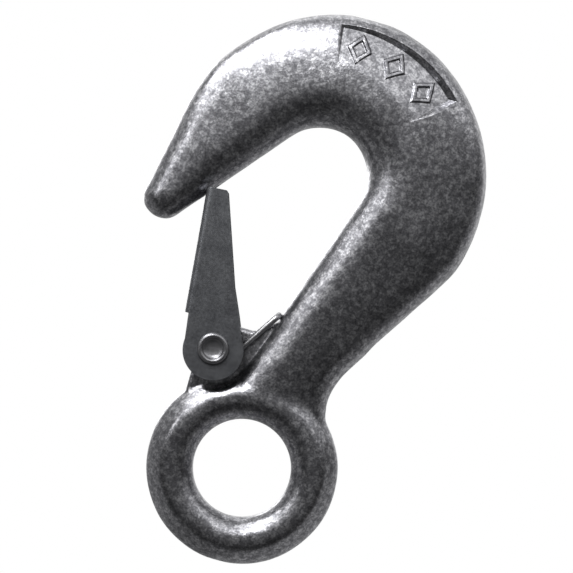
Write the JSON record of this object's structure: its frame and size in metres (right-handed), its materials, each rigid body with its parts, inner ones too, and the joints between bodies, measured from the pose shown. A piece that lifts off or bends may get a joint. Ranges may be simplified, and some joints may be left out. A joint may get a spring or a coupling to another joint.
{
  "type": "eye hook with latch",
  "caption": "Forged lifting hook with a round eye, a deep bowl and a spring-loaded sheet-steel latch that closes the throat.",
  "frame": {"origin": "centre of the eye, at the middle of its thickness", "axes": "+Z from the bowl up through the eye, so the load pulls along -Z; +Y along the axis of the eye's bore, from the marked face to the back; +X towards the throat, the latch and the point"},
  "size_m": [0.0841, 0.019, 0.1426],
  "materials": {
    "forged_steel": "rough forged and zinc coated, dark grey with fine pits and worn bright edges",
    "latch_sheet": "smooth zinc-plated sheet, dark grey, satin",
    "rivet_steel": "plated, satin, bright on the rolled rim",
    "spring_wire": "plain drawn spring wire, semi-bright"
  },
  "bodies": {
    "hook": {"hook_forging": "forged_steel", "torsion_spring": "spring_wire"},
    "latch": {"latch": "latch_sheet", "rivet": "rivet_steel"}
  },
  "joints": [
    {"name": "latch_pivot", "type": "hinge", "parent": "hook", "child": "latch", "pos_m": [0.01506, 0, -0.0275], "axis": [0, 1, 0], "range_deg": [0, 45], "stiffness_Nm_per_rad": 0.12, "springref_deg": -34.38, "deforming": ["torsion_spring"]}
  ]
}
